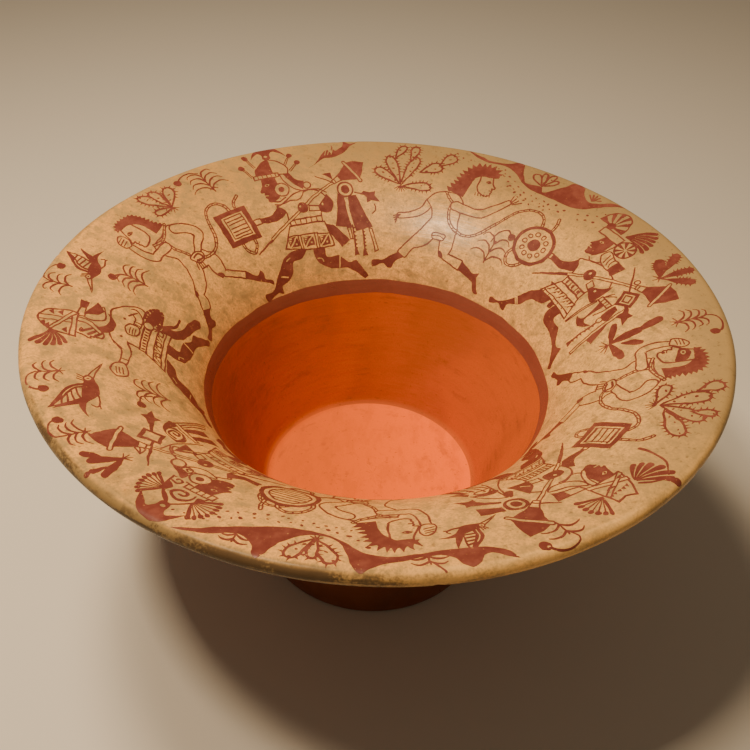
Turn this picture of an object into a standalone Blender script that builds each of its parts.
"""Painted pottery bowl: a wide trumpet-shaped flare above a small deep well, on a hollow ring foot.

Fired clay, built and turned as one piece.  Metres, +Z up, origin at the centre of the foot's underside.
"""
import math

import bpy

# Overall size
RIM_DIAMETER = 0.380
HEIGHT = 0.195

# The flare, from the throat out to the lip
THROAT_DIAMETER = 0.200
FLARE_DEPTH = 0.067
RIM_SLOPE = math.radians(13.5)
THROAT_HANDLE = 0.029
RIM_HANDLE = 0.048

# The well below the throat
WELL_FLOOR_DIAMETER = 0.137
FLOOR_HEIGHT = 0.047
WELL_CORNER_RADIUS = 0.007

# Thickness of the clay
WALL = 0.008
LIP_THICKNESS = 0.0086
FLOOR_THICKNESS = 0.009

# The ring foot, open below
FOOT_DIAMETER = 0.153
FOOT_WALL = 0.012
FOOT_WAIST_RADIUS = 0.080
FOOT_EDGE_RADIUS = 0.0028
RECESS_TAPER = math.radians(8)
RECESS_CORNER_RADIUS = 0.010

# Facets
TURN_STEPS = 96
FLARE_STEPS = 12
LIP_STEP = math.radians(30)
CORNER_STEP = math.radians(30)
MERGE_DISTANCE = 0.00005

CLAY_COLOUR = (0.56, 0.36, 0.19, 1.0)
CLAY_ROUGHNESS = 0.55


def clear_scene():
    for item in list(bpy.data.objects):
        bpy.data.objects.remove(item, do_unlink=True)


def fired_clay():
    material = bpy.data.materials.new("fired_clay")
    material.use_nodes = True
    shader = material.node_tree.nodes["Principled BSDF"]
    shader.inputs["Base Color"].default_value = CLAY_COLOUR
    shader.inputs["Roughness"].default_value = CLAY_ROUGHNESS
    shader.inputs["Metallic"].default_value = 0.0
    return material


def along(angle, length):
    return length * math.cos(angle), length * math.sin(angle)


def shifted(point, step):
    return point[0] + step[0], point[1] + step[1]


def rounded(before, corner, after, radius):
    """Points of the arc that rounds a corner between two straight stretches."""
    back = math.atan2(before[1] - corner[1], before[0] - corner[0])
    ahead = math.atan2(after[1] - corner[1], after[0] - corner[0])
    between = abs(math.remainder(ahead - back, math.tau))
    shorter = min(math.dist(before, corner), math.dist(corner, after))
    reach = min(radius / math.tan(between / 2), shorter * 0.45)
    radius = reach * math.tan(between / 2)
    bisector = back + math.remainder(ahead - back, math.tau) / 2
    centre = shifted(corner, along(bisector, math.hypot(reach, radius)))
    start = shifted(corner, along(back, reach))
    end = shifted(corner, along(ahead, reach))
    first = math.atan2(start[1] - centre[1], start[0] - centre[0])
    last = math.atan2(end[1] - centre[1], end[0] - centre[0])
    sweep = math.remainder(last - first, math.tau)
    count = max(2, math.ceil(abs(sweep) / CORNER_STEP))
    return [shifted(centre, along(first + sweep * i / count, radius)) for i in range(count + 1)]


def bezier(start, pull, push, end, share):
    weights = ((1 - share) ** 3, 3 * share * (1 - share) ** 2, 3 * share ** 2 * (1 - share), share ** 3)
    return tuple(sum(w * p[k] for w, p in zip(weights, (start, pull, push, end))) for k in (0, 1))


def flare_curve(throat, wall_slope, rim):
    """The inner face of the flare: it leaves the well's wall smoothly and eases over to the rim."""
    pull = shifted(throat, along(wall_slope, THROAT_HANDLE))
    push = shifted(rim, along(RIM_SLOPE, -RIM_HANDLE))
    return [bezier(throat, pull, push, rim, i / FLARE_STEPS) for i in range(FLARE_STEPS + 1)]


def outer_face(inner, first_slope, last_slope):
    """The outer face of the flare, one wall's thickness behind the inner one, full at the lip."""
    slopes = [first_slope]
    for before, after in zip(inner[:-2], inner[2:]):
        slopes.append(math.atan2(after[1] - before[1], after[0] - before[0]))
    slopes.append(last_slope)
    face = []
    for i, (point, slope) in enumerate(zip(inner, slopes)):
        thickness = WALL + (LIP_THICKNESS - WALL) * i / (len(inner) - 1)
        face.append(shifted(point, along(slope - math.pi / 2, thickness)))
    return face


def bowl_profile():
    """Half section, from the middle of the well's floor, over the lip, down to the recess's ceiling."""
    floor_edge = (WELL_FLOOR_DIAMETER / 2, FLOOR_HEIGHT)
    throat = (THROAT_DIAMETER / 2, HEIGHT - FLARE_DEPTH)
    wall_slope = math.atan2(throat[1] - floor_edge[1], throat[0] - floor_edge[0])

    # The lip is half a turn of a small circle whose top is the bowl's height
    lip_radius = LIP_THICKNESS / 2
    lip_centre = (RIM_DIAMETER / 2 - lip_radius, HEIGHT - lip_radius)
    rim = shifted(lip_centre, along(RIM_SLOPE + math.pi / 2, lip_radius))
    lip = []
    angle = math.pi / 2
    while angle > RIM_SLOPE - math.pi / 2 + LIP_STEP / 3:
        lip.append(shifted(lip_centre, along(angle, lip_radius)))
        angle -= LIP_STEP

    flare = flare_curve(throat, wall_slope, rim)
    back = outer_face(flare, wall_slope, RIM_SLOPE)
    back.reverse()

    # The well's outer face meets the foot's side where the two lines cross
    foot_side = FOOT_DIAMETER / 2
    throat_back = back[-1]
    waist_height = throat_back[1] - (throat_back[0] - foot_side) * math.tan(wall_slope)
    waist = (foot_side, waist_height)
    foot_toe = (foot_side, 0.0)
    foot_heel = (foot_side - FOOT_WALL, 0.0)
    ceiling_height = FLOOR_HEIGHT - FLOOR_THICKNESS
    ceiling_edge = (foot_heel[0] - ceiling_height * math.tan(RECESS_TAPER), ceiling_height)
    ceiling_centre = (0.0, ceiling_height)

    profile = [(0.0, FLOOR_HEIGHT)]
    profile += rounded((0.0, FLOOR_HEIGHT), floor_edge, throat, WELL_CORNER_RADIUS)
    profile += flare + lip + back
    profile += rounded(throat_back, waist, foot_toe, FOOT_WAIST_RADIUS)
    profile += rounded(waist, foot_toe, foot_heel, FOOT_EDGE_RADIUS)
    profile += rounded(foot_toe, foot_heel, ceiling_edge, FOOT_EDGE_RADIUS)
    profile += rounded(foot_heel, ceiling_edge, ceiling_centre, RECESS_CORNER_RADIUS)
    profile.append(ceiling_centre)
    return profile


def turned(name, profile, collection):
    mesh = bpy.data.meshes.new(name)
    points = [(radius, 0.0, height) for radius, height in profile]
    edges = [(i, i + 1) for i in range(len(points) - 1)]
    mesh.from_pydata(points, edges, [])
    piece = bpy.data.objects.new(name, mesh)
    collection.objects.link(piece)
    screw = piece.modifiers.new("turn", "SCREW")
    screw.axis = "Z"
    screw.angle = math.tau
    screw.steps = TURN_STEPS
    screw.render_steps = TURN_STEPS
    screw.use_merge_vertices = True
    screw.merge_threshold = MERGE_DISTANCE
    screw.use_smooth_shade = True
    return piece


def main():
    clear_scene()
    collection = bpy.data.collections.new("painted_pottery_bowl")
    bpy.context.scene.collection.children.link(collection)
    bowl = turned("bowl", bowl_profile(), collection)
    bowl.data.materials.append(fired_clay())


main()
